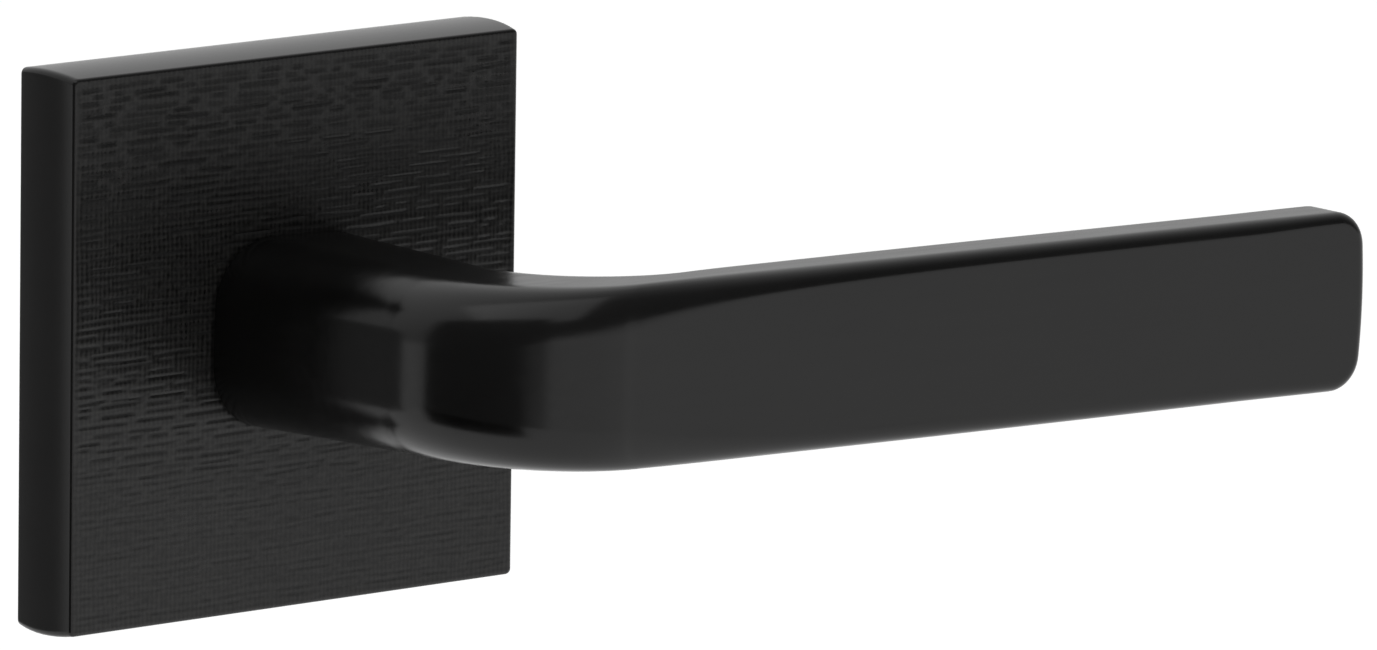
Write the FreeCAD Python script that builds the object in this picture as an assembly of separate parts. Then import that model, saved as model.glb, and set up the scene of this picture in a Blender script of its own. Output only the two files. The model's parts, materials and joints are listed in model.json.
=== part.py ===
import FreeCAD, Part
import math
import os
from FreeCAD import Vector, Matrix, Placement

# Door lever handle on a square rose. Millimetres, Z up.
# The origin lies on the axis the lever turns about, in the door-side face of the rose.
# +Y points into the door, -Y towards the room, +X along the lever.

# Clearances between pieces that fit together
RUNNING = 0.05
SLIDING = 0.1
LOOSE = 0.3
THREAD = 0.02

# Square rose, the dished cover that is seen
ROSE_SIDE = 66.7
ROSE_DEPTH = 10.3
ROSE_FRONT_IN = 0.55
ROSE_BACK_IN = 0.4
ROSE_WIDEST_Y = -0.398 * ROSE_DEPTH
ROSE_CORNER_R = 0.7
ROSE_FRONT_EDGE_R = 0.4
ROSE_BACK_EDGE_R = 0.6
ROSE_FRONT_WALL = 2.0
ROSE_SIDE_WALL = 2.55
ROSE_DROP = 0.8

# Spindle
SPINDLE_SIDE = 8.0
SPINDLE_FRONT_Y = -23.0
SPINDLE_BACK_Y = 34.0

# Drive hub, sized round the spindle
HUB_NOSE_R = 0.875 * SPINDLE_SIDE
HUB_NOSE_FLAT = SPINDLE_SIDE / 2 + 1.9
HUB_NOSE_FRONT_Y = -30.0
JOURNAL_R = HUB_NOSE_R + 1.0
HUB_BARREL_R = JOURNAL_R - 0.75

# Lever, the one casting the hand takes hold of
NECK_WIDTH = 24.8
NECK_HEIGHT = 22.6
NECK_BASE_LOW = 0.5
NECK_CORNER_R = 8.1
WAIST_SIDE = 21.2
WAIST_CORNER_R = 7.0
NECK_GAP = 0.4
GRIP_PLANE_Y = -56.3
GRIP_HEIGHT = 21.8
GRIP_THICK_ROOT = 8.8
GRIP_THICK_TIP = 7.4
LEVER_REACH = 124.0
ELBOW_OUTER_R = 20.0
ELBOW_INNER_R = 15.0
NECK_STEPS = 6
ELBOW_STEPS = 6
GRIP_STEPS = 22
TIP_CORNER_R = 4.4
TIP_BULGE = 0.7
TIP_EDGE_R = 1.3
REST_SAG = 1.2
SPIGOT_R = JOURNAL_R + 1.5
SPIGOT_LENGTH = 2.0
HUB_SHOULDER_Y = -ROSE_DEPTH - NECK_GAP + SPIGOT_LENGTH

# Ring pressed on the spigot, turning in the rose's hole
NECK_RING_R = SPIGOT_R + 0.5
NECK_RING_LENGTH = SPIGOT_LENGTH - 0.1
ROSE_HOLE_R = NECK_RING_R + ROSE_DROP + 0.2

# Washers and circlip on the journal
THRUST_WASHER_R = JOURNAL_R + 2.7
THRUST_WASHER_THICK = 0.4
SPRING_WASHER_R = JOURNAL_R + 2.4
SPRING_WASHER_HEIGHT = 0.6
SPRING_WASHER_THICK = 0.35
CIRCLIP_THICK = 0.9
CIRCLIP_GROOVE_R = JOURNAL_R - 0.7
CIRCLIP_R = JOURNAL_R + 1.3

# Gasket
GASKET_THICK = 0.8
GASKET_IN = 0.28

# Mounting plate behind the rose, as thick as the rose's depth leaves room for
PLATE_SIDE = ROSE_SIDE - 2 * ROSE_SIDE_WALL - 2 * ROSE_DROP - 2 * THREAD
PLATE_CORNER_R = 2.0
PAD_HEIGHT = 1.4
STACK_HEIGHT = THRUST_WASHER_THICK + SPRING_WASHER_HEIGHT + CIRCLIP_THICK + 2 * SLIDING
PAD_FRONT_Y = -ROSE_DEPTH + ROSE_FRONT_WALL + STACK_HEIGHT
PLATE_FRONT_Y = PAD_FRONT_Y + PAD_HEIGHT
PLATE_BACK_Y = -GASKET_THICK
CUP_FRONT_Y = PLATE_FRONT_Y + 0.8
CUP_WALL = 2.2
RING_R = 26.8
RING_WALL = 2.0
RING_BACK_Y = 2.2
SCREW_BOSS_R = 3.0
RIB_HALF_WIDTH = 3.0
GASKET_SIDE = PLATE_SIDE - 2 * GASKET_IN
GASKET_HOLE_R = RING_R + 1.4

# Hub bush
HUB_BUSH_WALL = 1.15
HUB_BUSH_FLANGE_THICK = 0.8
HUB_BUSH_FLANGE_R = JOURNAL_R + 1.9

# Hub flange and the spring behind it
HUB_FLANGE_THICK = 2.4
HUB_FLANGE_FRONT_Y = CUP_FRONT_Y + HUB_BUSH_FLANGE_THICK
HUB_FLANGE_BACK_Y = HUB_FLANGE_FRONT_Y + HUB_FLANGE_THICK
WIRE_R = 0.75
COIL_R = HUB_BARREL_R + 2 * WIRE_R
COIL_LENGTH = 4.9
COIL_TURNS = 3
WIRE_STEPS = 120
COIL_FRONT_Y = HUB_FLANGE_BACK_Y + WIRE_R + 2 * SLIDING
COIL_BACK_Y = COIL_FRONT_Y + COIL_LENGTH
CUP_BACK_Y = COIL_BACK_Y + WIRE_R + 2 * SLIDING
LUG_R_IN = COIL_R + WIRE_R + 0.7
LUG_R_OUT = LUG_R_IN + 1.4
LUG_HALF_WIDTH = 2.6
LUG_BACK_Y = CUP_BACK_Y - 0.6
RIB_R = LUG_R_OUT + 0.5

# Stop pins and the notches that they run in
STOP_TRAVEL = 45.0
STOP_PIN_R = 1.5
STOP_PIN_AT = LUG_R_OUT
NOTCH_R = STOP_PIN_AT - STOP_PIN_R - LOOSE
HUB_FLANGE_R = STOP_PIN_AT + STOP_PIN_R + 2 * SLIDING
CUP_R = HUB_FLANGE_R + 0.5
PAD_R = CUP_R + 1.7
SCREW_BOSS_AT = CUP_R + 3.6
LEG_HALF_GAP = LUG_HALF_WIDTH + WIRE_R + 0.45
LEG_END_Z = CUP_R - 1.0
LEG_BEND_R = 1.6

# Spring cover
COVER_THICK = 1.0
COVER_HOLE_R = HUB_BARREL_R + 0.15

# Through bolts
BOLT_SPACING = 38.0
BOLT_R = 2.0
BOLT_SHANK_R = 1.75
BOLT_THREAD_Y = CUP_BACK_Y + COVER_THICK + 1.0
BOLT_END_Y = BOLT_THREAD_Y + 5.5
BOLT_HEAD_R = 3.9
BOLT_HEAD_HEIGHT = 2.6
BOLT_HOLE_R = BOLT_R + 2 * SLIDING
BOLT_SINK_R = BOLT_HEAD_R + 0.5
BOLT_SINK_Y = PLATE_FRONT_Y + 1.2
LOCK_WASHER_R = 3.8
LOCK_WASHER_THICK = 0.9

# Small screws
COVER_SCREW_R = 1.25
COVER_SCREW_HEAD_R = 2.3
COVER_SCREW_HEAD_HEIGHT = 1.5
COVER_SCREW_LENGTH = 4.6
LEVER_SCREW_R = 2.5
LEVER_SCREW_LENGTH = WAIST_SIDE / 2 - SPINDLE_SIDE / 2 + 0.4
LEVER_SCREW_Y = -19.0
LEVER_SCREW_KEY = 2.5
ROSE_SCREW_R = 1.5
ROSE_SCREW_BITE = 0.4
ROSE_SCREW_LENGTH = (ROSE_SIDE - PLATE_SIDE) / 2 + ROSE_DROP + ROSE_SCREW_BITE - 0.07
ROSE_SCREW_Y = (PLATE_FRONT_Y + PLATE_BACK_Y) / 2
ROSE_SCREW_KEY = 1.5

AXIS = Vector(0, 1, 0)
UP = Vector(0, 0, 1)
FAR = 200.0


def rod(radius, y_start, y_end, x=0.0, z=0.0):
    """A solid cylinder along Y."""
    return Part.makeCylinder(radius, y_end - y_start, Vector(x, y_start, z), AXIS)


def upright(radius, z_start, z_end, x=0.0, y=0.0):
    """A solid cylinder along Z."""
    return Part.makeCylinder(radius, z_end - z_start, Vector(x, y, z_start), UP)


def ring(inner, outer, y_start, y_end, x=0.0, z=0.0):
    """A tube along Y."""
    return rod(outer, y_start, y_end, x, z).cut(rod(inner, y_start - 1, y_end + 1, x, z))


def block(half_x, y_start, y_end, z_low, z_high, x=0.0):
    """A box centred on x, between two Y planes and two Z planes."""
    corner = Vector(x - half_x, y_start, z_low)
    return Part.makeBox(2 * half_x, y_end - y_start, z_high - z_low, corner)


def edges_along(shape, direction):
    """The straight edges of a shape that run along a direction."""
    found = []
    for edge in shape.Edges:
        if len(edge.Vertexes) != 2:
            continue
        run = edge.Vertexes[1].Point.sub(edge.Vertexes[0].Point)
        if run.Length > 1e-6 and abs(run.normalize().dot(direction)) > 0.99999:
            found.append(edge)
    return found


def edges_in_plane(shape, y, reach=FAR):
    """The edges of a shape that lie in one Y plane, within a half width of the axis."""
    found = []
    for edge in shape.Edges:
        box = edge.BoundBox
        flat = abs(box.YMin - y) < 1e-4 and abs(box.YMax - y) < 1e-4
        if flat and max(box.XMax, box.ZMax, -box.XMin, -box.ZMin) <= reach:
            found.append(edge)
    return found


def square_plate(side, radius, y_start, y_end):
    """A square plate with rounded corners, flat in the XZ plane."""
    plate = block(side / 2, y_start, y_end, -side / 2, side / 2)
    return plate.makeFillet(radius, edges_along(plate, AXIS))


def hex_key(across_flats, depth, centre, direction):
    """A hexagonal socket running from its mouth along a direction."""
    radius = across_flats / math.sqrt(3)
    side = direction.cross(Vector(1, 0, 0))
    if side.Length < 0.5:
        side = direction.cross(Vector(0, 0, 1))
    side.normalize()
    other = direction.cross(side)
    corners = []
    for step in range(7):
        angle = math.radians(60 * step)
        arm = side * (radius * math.cos(angle)) + other * (radius * math.sin(angle))
        corners.append(centre + arm)
    face = Part.Face(Part.makePolygon(corners))
    return face.extrude(direction * depth)


def cross_slot(width, length, depth, centre, into):
    """A cross recess cut along Y from its mouth, with tapering arms."""
    arms = None
    for turn in (0, 90):
        arm = Part.makeBox(length, depth, width, Vector(-length / 2, 0, -width / 2))
        arm.rotate(Vector(0, 0, 0), AXIS, turn)
        arms = arm if arms is None else arms.fuse(arm)
    if into < 0:
        arms.translate(Vector(0, -depth, 0))
    arms.translate(centre)
    return arms


def bulged_prism(along_z):
    """A bar with the rose's crowned sides, running along X or along Z."""
    half = ROSE_SIDE / 2
    front = half - ROSE_FRONT_IN
    back = half - ROSE_BACK_IN
    right = Part.Arc(Vector(front, -ROSE_DEPTH, 0), Vector(half, ROSE_WIDEST_Y, 0), Vector(back, 0, 0))
    left = Part.Arc(Vector(-back, 0, 0), Vector(-half, ROSE_WIDEST_Y, 0), Vector(-front, -ROSE_DEPTH, 0))
    near = Part.makeLine(Vector(-front, -ROSE_DEPTH, 0), Vector(front, -ROSE_DEPTH, 0))
    far = Part.makeLine(Vector(back, 0, 0), Vector(-back, 0, 0))
    outline = Part.Wire([near, right.toShape(), far, left.toShape()])
    prism = Part.Face(outline).extrude(Vector(0, 0, 2 * half + 4))
    prism.translate(Vector(0, 0, -half - 2))
    if not along_z:
        prism.rotate(Vector(0, 0, 0), AXIS, 90)
    return prism


def make_rose_cover():
    body = bulged_prism(True).common(bulged_prism(False))
    corners = []
    for edge in body.Edges:
        middle = edge.CenterOfMass
        if abs(abs(middle.x) - abs(middle.z)) < 1e-3 and abs(middle.x) > 5:
            corners.append(edge)
    body = body.makeFillet(ROSE_CORNER_R, corners)
    body = body.makeFillet(ROSE_FRONT_EDGE_R, edges_in_plane(body, -ROSE_DEPTH))
    body = body.makeFillet(ROSE_BACK_EDGE_R, edges_in_plane(body, 0.0))
    cavity_half = ROSE_SIDE / 2 - ROSE_SIDE_WALL
    inner_y = -ROSE_DEPTH + ROSE_FRONT_WALL
    cavity = square_plate(2 * cavity_half, PLATE_CORNER_R - LOOSE / 2, inner_y, 1.0)
    body = body.cut(cavity)
    body = body.cut(rod(ROSE_HOLE_R, -ROSE_DEPTH - 1, 0))
    hole = upright(ROSE_SCREW_R + THREAD, -ROSE_SIDE, -cavity_half + 1, 0, ROSE_SCREW_Y)
    body = body.cut(hole)
    body.translate(Vector(0, 0, -ROSE_DROP))
    return body


def make_neck_ring():
    front = -ROSE_DEPTH - NECK_GAP
    collar = ring(SPIGOT_R, NECK_RING_R, front, front + NECK_RING_LENGTH)
    rim = []
    for edge in edges_in_plane(collar, front + NECK_RING_LENGTH):
        if edge.BoundBox.XMax > SPIGOT_R + 0.1:
            rim.append(edge)
    return collar.makeChamfer(0.2, rim)


def make_rose_set_screw():
    tip = -PLATE_SIDE / 2 + ROSE_SCREW_BITE
    screw = upright(ROSE_SCREW_R, tip - ROSE_SCREW_LENGTH, tip - 0.7, 0, ROSE_SCREW_Y)
    point = Part.makeCone(ROSE_SCREW_R, 0.8, 0.7, Vector(0, ROSE_SCREW_Y, tip - 0.7), UP)
    screw = screw.fuse(point)
    mouth = Vector(0, ROSE_SCREW_Y, tip - ROSE_SCREW_LENGTH)
    return screw.cut(hex_key(ROSE_SCREW_KEY, 1.4, mouth, UP))


def make_mounting_plate():
    plate = square_plate(PLATE_SIDE, PLATE_CORNER_R, PLATE_FRONT_Y, PLATE_BACK_Y)
    plate = plate.fuse(rod(PAD_R, PAD_FRONT_Y, PLATE_FRONT_Y + 1))
    plate = plate.fuse(rod(CUP_R + CUP_WALL, PLATE_BACK_Y - 1, CUP_BACK_Y))
    locating = ring(RING_R - RING_WALL, RING_R, PLATE_BACK_Y - 1, RING_BACK_Y)
    plate = plate.fuse(locating)
    for turn in (45, 135, 225, 315):
        x, z = at_angle(SCREW_BOSS_AT, turn)
        plate = plate.fuse(rod(SCREW_BOSS_R, PLATE_BACK_Y - 1, CUP_BACK_Y, x, z))
    plate = plate.cut(rod(CUP_R, CUP_FRONT_Y, CUP_BACK_Y + 1))
    bush_r = JOURNAL_R + RUNNING + HUB_BUSH_WALL
    plate = plate.cut(rod(bush_r, PAD_FRONT_Y - 1, 0))
    rib = block(RIB_HALF_WIDTH, HUB_FLANGE_BACK_Y + 0.4, CUP_BACK_Y, 0, CUP_R + 1)
    rib = rib.cut(rod(RIB_R, -2, CUP_BACK_Y + 1))
    rib = rib.common(rod(CUP_R + CUP_WALL / 2, -2, CUP_BACK_Y + 1))
    plate = plate.fuse(rib)
    for side in (-1, 1):
        x = side * BOLT_SPACING / 2
        plate = plate.cut(rod(BOLT_HOLE_R, -10, 10, x))
        plate = plate.cut(rod(BOLT_SINK_R, -10, BOLT_SINK_Y, x))
        plate = plate.cut(rod(STOP_PIN_R, -10, 0, side * STOP_PIN_AT))
    for turn in (45, 135, 225, 315):
        x, z = at_angle(SCREW_BOSS_AT, turn)
        depth = COVER_SCREW_LENGTH + 0.4
        plate = plate.cut(rod(COVER_SCREW_R + THREAD, CUP_BACK_Y - depth, CUP_BACK_Y + 1, x, z))
    edge_z = -PLATE_SIDE / 2
    dimple = Part.makeCone(1.4, 0.82, 0.5, Vector(0, ROSE_SCREW_Y, edge_z), UP)
    plate = plate.cut(dimple)
    return plate.removeSplitter()


def at_angle(radius, degrees):
    """Where a spoke at an angle from +X towards +Z ends."""
    angle = math.radians(degrees)
    return radius * math.cos(angle), radius * math.sin(angle)


def make_door_gasket():
    gasket = square_plate(GASKET_SIDE, PLATE_CORNER_R, PLATE_BACK_Y, 0.0)
    return gasket.cut(rod(GASKET_HOLE_R, -2, 2))


def make_hub_bush():
    inner = JOURNAL_R + RUNNING
    outer = inner + HUB_BUSH_WALL
    sleeve = ring(inner, outer, PAD_FRONT_Y, CUP_FRONT_Y + HUB_BUSH_FLANGE_THICK / 2)
    flange = ring(inner, HUB_BUSH_FLANGE_R, CUP_FRONT_Y, HUB_FLANGE_FRONT_Y)
    return sleeve.fuse(flange).removeSplitter()


def sector(radius, y_start, y_end, middle, half_angle):
    """A wedge of a disc between two angles from +X towards +Z."""
    first = at_angle(radius * 2, middle - half_angle)
    last = at_angle(radius * 2, middle + half_angle)
    points = [Vector(0, y_start, 0), Vector(first[0], y_start, first[1])]
    points.append(Vector(last[0], y_start, last[1]))
    points.append(points[0])
    wedge = Part.Face(Part.makePolygon(points)).extrude(Vector(0, y_end - y_start, 0))
    return wedge


def make_drive_hub():
    hub = rod(JOURNAL_R, HUB_SHOULDER_Y, HUB_FLANGE_BACK_Y)
    flange = rod(HUB_FLANGE_R, HUB_FLANGE_FRONT_Y, HUB_FLANGE_BACK_Y)
    pin_angle = math.degrees(math.asin(STOP_PIN_R / STOP_PIN_AT))
    notch_half = STOP_TRAVEL + pin_angle + 0.3
    for middle in (0, 180):
        notch = sector(HUB_FLANGE_R, HUB_FLANGE_FRONT_Y - 1, HUB_FLANGE_BACK_Y + 1, middle, notch_half)
        notch = notch.cut(rod(NOTCH_R, HUB_FLANGE_FRONT_Y - 2, HUB_FLANGE_BACK_Y + 2))
        flange = flange.cut(notch)
    hub = hub.fuse(flange)
    hub = hub.fuse(rod(HUB_BARREL_R, HUB_FLANGE_BACK_Y - 0.5, CUP_BACK_Y + COVER_THICK))
    lug = block(LUG_HALF_WIDTH, HUB_FLANGE_BACK_Y - 0.5, LUG_BACK_Y, 0, HUB_FLANGE_R)
    lug = lug.common(ring(LUG_R_IN, LUG_R_OUT, -3, 8))
    hub = hub.fuse(lug)
    nose = rod(HUB_NOSE_R, HUB_NOSE_FRONT_Y, HUB_SHOULDER_Y + 0.5)
    nose = nose.common(block(HUB_NOSE_R + 1, HUB_NOSE_FRONT_Y - 1, 0, -HUB_NOSE_FLAT, HUB_NOSE_FLAT))
    nose = nose.makeChamfer(0.4, edges_in_plane(nose, HUB_NOSE_FRONT_Y))
    hub = hub.fuse(nose)
    groove_back = PAD_FRONT_Y - THRUST_WASHER_THICK - SPRING_WASHER_HEIGHT
    groove_front = groove_back - CIRCLIP_THICK - 0.05
    hub = hub.cut(ring(CIRCLIP_GROOVE_R, JOURNAL_R + 1, groove_front, groove_back))
    half = SPINDLE_SIDE / 2 + SLIDING / 2
    hub = hub.cut(block(half, HUB_NOSE_FRONT_Y - 1, 10, -half, half))
    hub = hub.cut(upright(LEVER_SCREW_R + SLIDING, -HUB_NOSE_R - 1, 0, 0, LEVER_SCREW_Y))
    return hub.removeSplitter()


def make_spindle():
    half = SPINDLE_SIDE / 2
    bar = block(half, SPINDLE_FRONT_Y, SPINDLE_BACK_Y, -half, half)
    bar = bar.makeFillet(0.5, edges_along(bar, AXIS))
    ends = edges_in_plane(bar, SPINDLE_FRONT_Y) + edges_in_plane(bar, SPINDLE_BACK_Y)
    return bar.makeChamfer(0.6, ends)


def make_hub_circlip():
    back = PAD_FRONT_Y - THRUST_WASHER_THICK - SPRING_WASHER_HEIGHT
    front = back - CIRCLIP_THICK
    inner = CIRCLIP_GROOVE_R + RUNNING
    clip = ring(inner, CIRCLIP_R, front, back)
    for side in (-1, 1):
        ear = rod(1.3, front, back, side * 2.4, -CIRCLIP_R + 0.1)
        clip = clip.fuse(ear)
    clip = clip.cut(rod(inner, front - 1, back + 1))
    clip = clip.cut(block(1.1, front - 1, back + 1, -FAR, 0))
    for side in (-1, 1):
        clip = clip.cut(rod(0.6, front - 1, back + 1, side * 2.5, -CIRCLIP_R + 0.1))
    return clip.removeSplitter()


def make_thrust_washer():
    front = PAD_FRONT_Y - THRUST_WASHER_THICK
    return ring(JOURNAL_R + SLIDING, THRUST_WASHER_R, front, PAD_FRONT_Y)


def make_spring_washer():
    back = PAD_FRONT_Y - THRUST_WASHER_THICK
    front = back - SPRING_WASHER_HEIGHT
    inner = JOURNAL_R + SLIDING
    outer = SPRING_WASHER_R
    points = [
        Vector(inner, front, 0),
        Vector(inner, front + SPRING_WASHER_THICK, 0),
        Vector(outer, back, 0),
        Vector(outer, back - SPRING_WASHER_THICK, 0),
        Vector(inner, front, 0),
    ]
    return Part.Face(Part.makePolygon(points)).revolve(Vector(0, 0, 0), AXIS, 360)


def make_return_spring():
    """A torsion spring: a leg, the coil and a second leg, drawn as one smooth wire."""
    reach = COIL_R + LEG_BEND_R
    bend_x = LEG_HALF_GAP + LEG_BEND_R
    bend_z = math.sqrt(reach * reach - bend_x * bend_x)
    start = math.atan2(bend_z, bend_x)
    end = math.pi - start
    sweep = start - end + 2 * math.pi * COIL_TURNS
    points = []
    for step in range(3):
        z = LEG_END_Z + (bend_z - LEG_END_Z) * step / 3
        points.append(Vector(LEG_HALF_GAP, COIL_FRONT_Y, z))
    for step in range(2):
        angle = math.pi + start * step / 2
        x = bend_x + LEG_BEND_R * math.cos(angle)
        z = bend_z + LEG_BEND_R * math.sin(angle)
        points.append(Vector(x, COIL_FRONT_Y, z))
    turns = 12 * COIL_TURNS
    for step in [0, 0.2, 0.5] + list(range(1, turns)) + [turns - 0.5, turns - 0.2, turns]:
        part = step / turns
        angle = start - sweep * part
        y = COIL_FRONT_Y + (COIL_BACK_Y - COIL_FRONT_Y) * part
        points.append(Vector(COIL_R * math.cos(angle), y, COIL_R * math.sin(angle)))
    for step in range(1, 3):
        angle = -start + start * step / 2
        x = -bend_x + LEG_BEND_R * math.cos(angle)
        z = bend_z + LEG_BEND_R * math.sin(angle)
        points.append(Vector(x, COIL_BACK_Y, z))
    for step in range(1, 4):
        z = bend_z + (LEG_END_Z - bend_z) * step / 3
        points.append(Vector(-LEG_HALF_GAP, COIL_BACK_Y, z))
    centreline = Part.BSplineCurve()
    centreline.interpolate(points)
    first = centreline.FirstParameter
    length = centreline.LastParameter - first
    rounds = []
    for step in range(WIRE_STEPS + 1):
        along = first + length * step / WIRE_STEPS
        middle = centreline.value(along)
        ahead = centreline.tangent(along)[0]
        side = ahead.cross(AXIS).normalize()
        over = side.cross(ahead).normalize()
        turned = Matrix(
            side.x, over.x, ahead.x, middle.x,
            side.y, over.y, ahead.y, middle.y,
            side.z, over.z, ahead.z, middle.z,
            0, 0, 0, 1,
        )
        circle = Part.makeCircle(WIRE_R)
        circle.Placement = Placement(turned)
        rounds.append(Part.Wire([circle]))
    return Part.makeLoft(rounds, True, False)


def make_spring_cover():
    cover = rod(CUP_R + CUP_WALL, CUP_BACK_Y, CUP_BACK_Y + COVER_THICK)
    for turn in (45, 135, 225, 315):
        x, z = at_angle(SCREW_BOSS_AT, turn)
        cover = cover.fuse(rod(SCREW_BOSS_R, CUP_BACK_Y, CUP_BACK_Y + COVER_THICK, x, z))
    cover = cover.cut(rod(COVER_HOLE_R, 0, 20))
    for side in (-1, 1):
        cover = cover.cut(rod(BOLT_HOLE_R, 0, 20, side * BOLT_SPACING / 2))
    for turn in (45, 135, 225, 315):
        x, z = at_angle(SCREW_BOSS_AT, turn)
        cover = cover.cut(rod(COVER_SCREW_R + SLIDING, 0, 20, x, z))
    return cover.removeSplitter()


def make_cover_screw(turn):
    x, z = at_angle(SCREW_BOSS_AT, turn)
    seat = CUP_BACK_Y + COVER_THICK
    screw = rod(COVER_SCREW_R, seat - COVER_SCREW_LENGTH, seat + 0.3, x, z)
    head = rod(COVER_SCREW_HEAD_R, seat, seat + COVER_SCREW_HEAD_HEIGHT, x, z)
    head = head.makeFillet(0.7, edges_in_plane(head, seat + COVER_SCREW_HEAD_HEIGHT))
    screw = screw.fuse(head)
    top = Vector(x, seat + COVER_SCREW_HEAD_HEIGHT, z)
    return screw.cut(cross_slot(0.6, 2.6, 0.9, top, -1)).removeSplitter()


def make_stop_pin(side):
    x = side * STOP_PIN_AT
    pin = rod(STOP_PIN_R, PAD_FRONT_Y + 0.2, HUB_FLANGE_BACK_Y - 0.1, x)
    return pin.makeChamfer(0.2, edges_in_plane(pin, HUB_FLANGE_BACK_Y - 0.1))


def make_through_bolt(side):
    x = side * BOLT_SPACING / 2
    seat = BOLT_SINK_Y - LOCK_WASHER_THICK
    head = rod(BOLT_HEAD_R, seat - BOLT_HEAD_HEIGHT, seat, x)
    head = head.makeFillet(1.2, edges_in_plane(head, seat - BOLT_HEAD_HEIGHT))
    bolt = head.fuse(rod(BOLT_SHANK_R, seat - 0.5, BOLT_THREAD_Y, x))
    thread = rod(BOLT_R, BOLT_THREAD_Y, BOLT_END_Y, x)
    bolt = bolt.fuse(thread)
    point = Part.makeCone(BOLT_R, BOLT_R - 0.6, 0.6, Vector(x, BOLT_END_Y, 0), AXIS)
    bolt = bolt.fuse(point)
    mouth = Vector(x, seat - BOLT_HEAD_HEIGHT, 0)
    return bolt.cut(cross_slot(0.9, 4.2, 1.5, mouth, 1)).removeSplitter()


def make_lock_washer(side):
    x = side * BOLT_SPACING / 2
    front = BOLT_SINK_Y - LOCK_WASHER_THICK
    washer = ring(BOLT_R + SLIDING, LOCK_WASHER_R, front, BOLT_SINK_Y, x)
    gap = block(0.35, front - 1, BOLT_SINK_Y + 1, 0, 6)
    gap.rotate(Vector(0, 0, 0), AXIS, 15)
    gap.translate(Vector(x, 0, 0))
    return washer.cut(gap)


def section_wire(outer, inner, height, radius):
    """A rounded rectangle stood upright between two points of the plan."""
    middle = (outer + inner) * 0.5
    across = inner - outer
    half = across.Length / 2
    across.normalize()
    rise = height / 2
    radius = min(radius, half * 0.98, rise * 0.98)

    def at(u, v):
        return middle + across * u + UP * v

    cut = radius * (1 - math.sqrt(0.5))
    edges = []
    for turn in range(4):
        a = 1 if turn in (0, 3) else -1
        b = 1 if turn in (0, 1) else -1
        first = at(a * half, b * (rise - radius))
        mid = at(a * (half - cut), b * (rise - cut))
        last = at(a * (half - radius), b * rise)
        if turn % 2 == 1:
            first, last = last, first
        edges.append(Part.Arc(first, mid, last).toShape())
        following = (turn + 1) % 4
        c = 1 if following in (0, 3) else -1
        d = 1 if following in (0, 1) else -1
        if turn % 2 == 0:
            goal = at(c * (half - radius), d * rise)
        else:
            goal = at(c * half, d * (rise - radius))
        edges.append(Part.makeLine(last, goal))
    return Part.Wire(edges)


def blend(first, last, part):
    """A value eased from one to another."""
    part = min(max(part, 0.0), 1.0)
    part = part * part * (3 - 2 * part)
    return first + (last - first) * part


def grip_half(x):
    """Half the grip's thickness at a distance from the axis."""
    part = min(max(x / LEVER_REACH, 0.0), 1.2)
    return (GRIP_THICK_ROOT + (GRIP_THICK_TIP - GRIP_THICK_ROOT) * part) / 2


def make_lever_body():
    """Neck, elbow and grip as one skin through upright sections along the bend."""
    base_y = -ROSE_DEPTH - NECK_GAP
    waist_half = WAIST_SIDE / 2
    face_y = GRIP_PLANE_Y - grip_half(0)
    back_y = GRIP_PLANE_Y + grip_half(0)
    outer_centre = Vector(-waist_half + ELBOW_OUTER_R, face_y + ELBOW_OUTER_R, 0)
    inner_centre = Vector(waist_half + ELBOW_INNER_R, back_y + ELBOW_INNER_R, 0)
    stations = []
    for step in range(NECK_STEPS):
        part = step / NECK_STEPS
        half = NECK_WIDTH / 2 + (waist_half - NECK_WIDTH / 2) * part
        height = NECK_HEIGHT + (WAIST_SIDE - NECK_HEIGHT) * part
        low = -NECK_BASE_LOW * (1 - part)
        outer = Vector(-half, base_y + (outer_centre.y - base_y) * part, low)
        inner = Vector(half, base_y + (inner_centre.y - base_y) * part, low)
        stations.append((outer, inner, height, blend(NECK_CORNER_R, WAIST_CORNER_R, part)))
    for step in range(ELBOW_STEPS):
        part = step / ELBOW_STEPS
        angle = math.radians(90 * part)
        arm = Vector(-math.cos(angle), -math.sin(angle), 0)
        outer = outer_centre + arm * ELBOW_OUTER_R
        inner = inner_centre + arm * ELBOW_INNER_R
        height = blend(WAIST_SIDE, GRIP_HEIGHT, part * 0.7)
        stations.append((outer, inner, height, blend(WAIST_CORNER_R, 5.0, part)))
    start_x = outer_centre.x
    lead = inner_centre.x - start_x
    for step in range(GRIP_STEPS + 1):
        part = step / GRIP_STEPS
        x = start_x + (LEVER_REACH + 5 - start_x) * part
        lag = max(0.0, 1 - (x - start_x) / 45) ** 2
        outer = Vector(x, GRIP_PLANE_Y - grip_half(x), 0)
        inner = Vector(x + lead * lag, GRIP_PLANE_Y + grip_half(x), 0)
        corner = 1.6 + 3.4 * math.exp(-(x - start_x) / 16)
        height = blend(WAIST_SIDE, GRIP_HEIGHT, 0.7 + (x - start_x) / 60)
        stations.append((outer, inner, height, corner))
    wires = []
    for outer, inner, height, corner in stations:
        wires.append(section_wire(outer, inner, height, corner))
    return Part.makeLoft(wires, True, False)


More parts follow.
